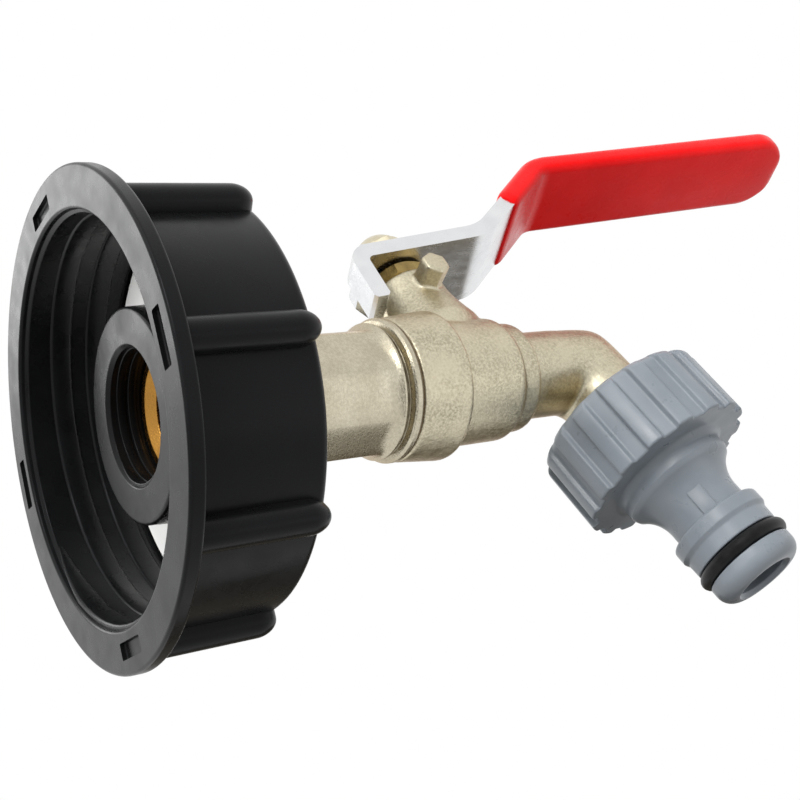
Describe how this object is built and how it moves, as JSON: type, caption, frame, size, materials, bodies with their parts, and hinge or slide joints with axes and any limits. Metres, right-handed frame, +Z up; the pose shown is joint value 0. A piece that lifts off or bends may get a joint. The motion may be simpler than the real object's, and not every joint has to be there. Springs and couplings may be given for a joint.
{
  "type": "ibc tap adapter",
  "caption": "Coarse threaded black tank cap with grip ribs, a plated lever ball valve with a bent-down outlet, and a grey ribbed hose connector.",
  "frame": {"origin": "centre of the cap's open front face", "axes": "+X along the valve from the tank towards the outlet bend, +Z up the valve's stem, +Y across"},
  "size_m": [0.1702, 0.0746, 0.0968],
  "materials": {
    "cap_plastic": "black moulded plastic, satin gloss",
    "white_seal": "white soft seal, smooth",
    "polished_nickel": "machined brass, nickel plated, bright satin",
    "cast_nickel": "cast brass, nickel plated, fine cast grain",
    "ball_plate": "plated, polished",
    "seat_plastic": "white, waxy",
    "bare_brass": "machined brass",
    "zinc_steel": "zinc plated, bright",
    "red_grip": "red dipped plastic, smooth",
    "yellow_zinc": "yellow zinc plated",
    "grey_plastic": "blue grey moulded plastic, satin",
    "black_rubber": "black rubber"
  },
  "bodies": {
    "valve": {"tank_cap": "cap_plastic", "tank_gasket": "white_seal", "inlet_connector": "polished_nickel", "valve_body": "cast_nickel", "seat_inlet": "seat_plastic", "seat_outlet": "seat_plastic", "stem_washer": "seat_plastic", "stem_packing": "seat_plastic", "gland_nut": "bare_brass", "hose_connector": "grey_plastic", "connector_washer": "black_rubber", "connector_oring": "black_rubber"},
    "lever_set": {"ball": "ball_plate", "stem": "bare_brass", "lever": "zinc_steel", "lever_grip": "red_grip", "lever_nut": "yellow_zinc"}
  },
  "joints": [
    {"name": "lever_turn", "type": "hinge", "parent": "valve", "child": "lever_set", "pos_m": [0.068, 0, 0], "axis": [0, 0, 1], "range_deg": [-80, 10]}
  ]
}
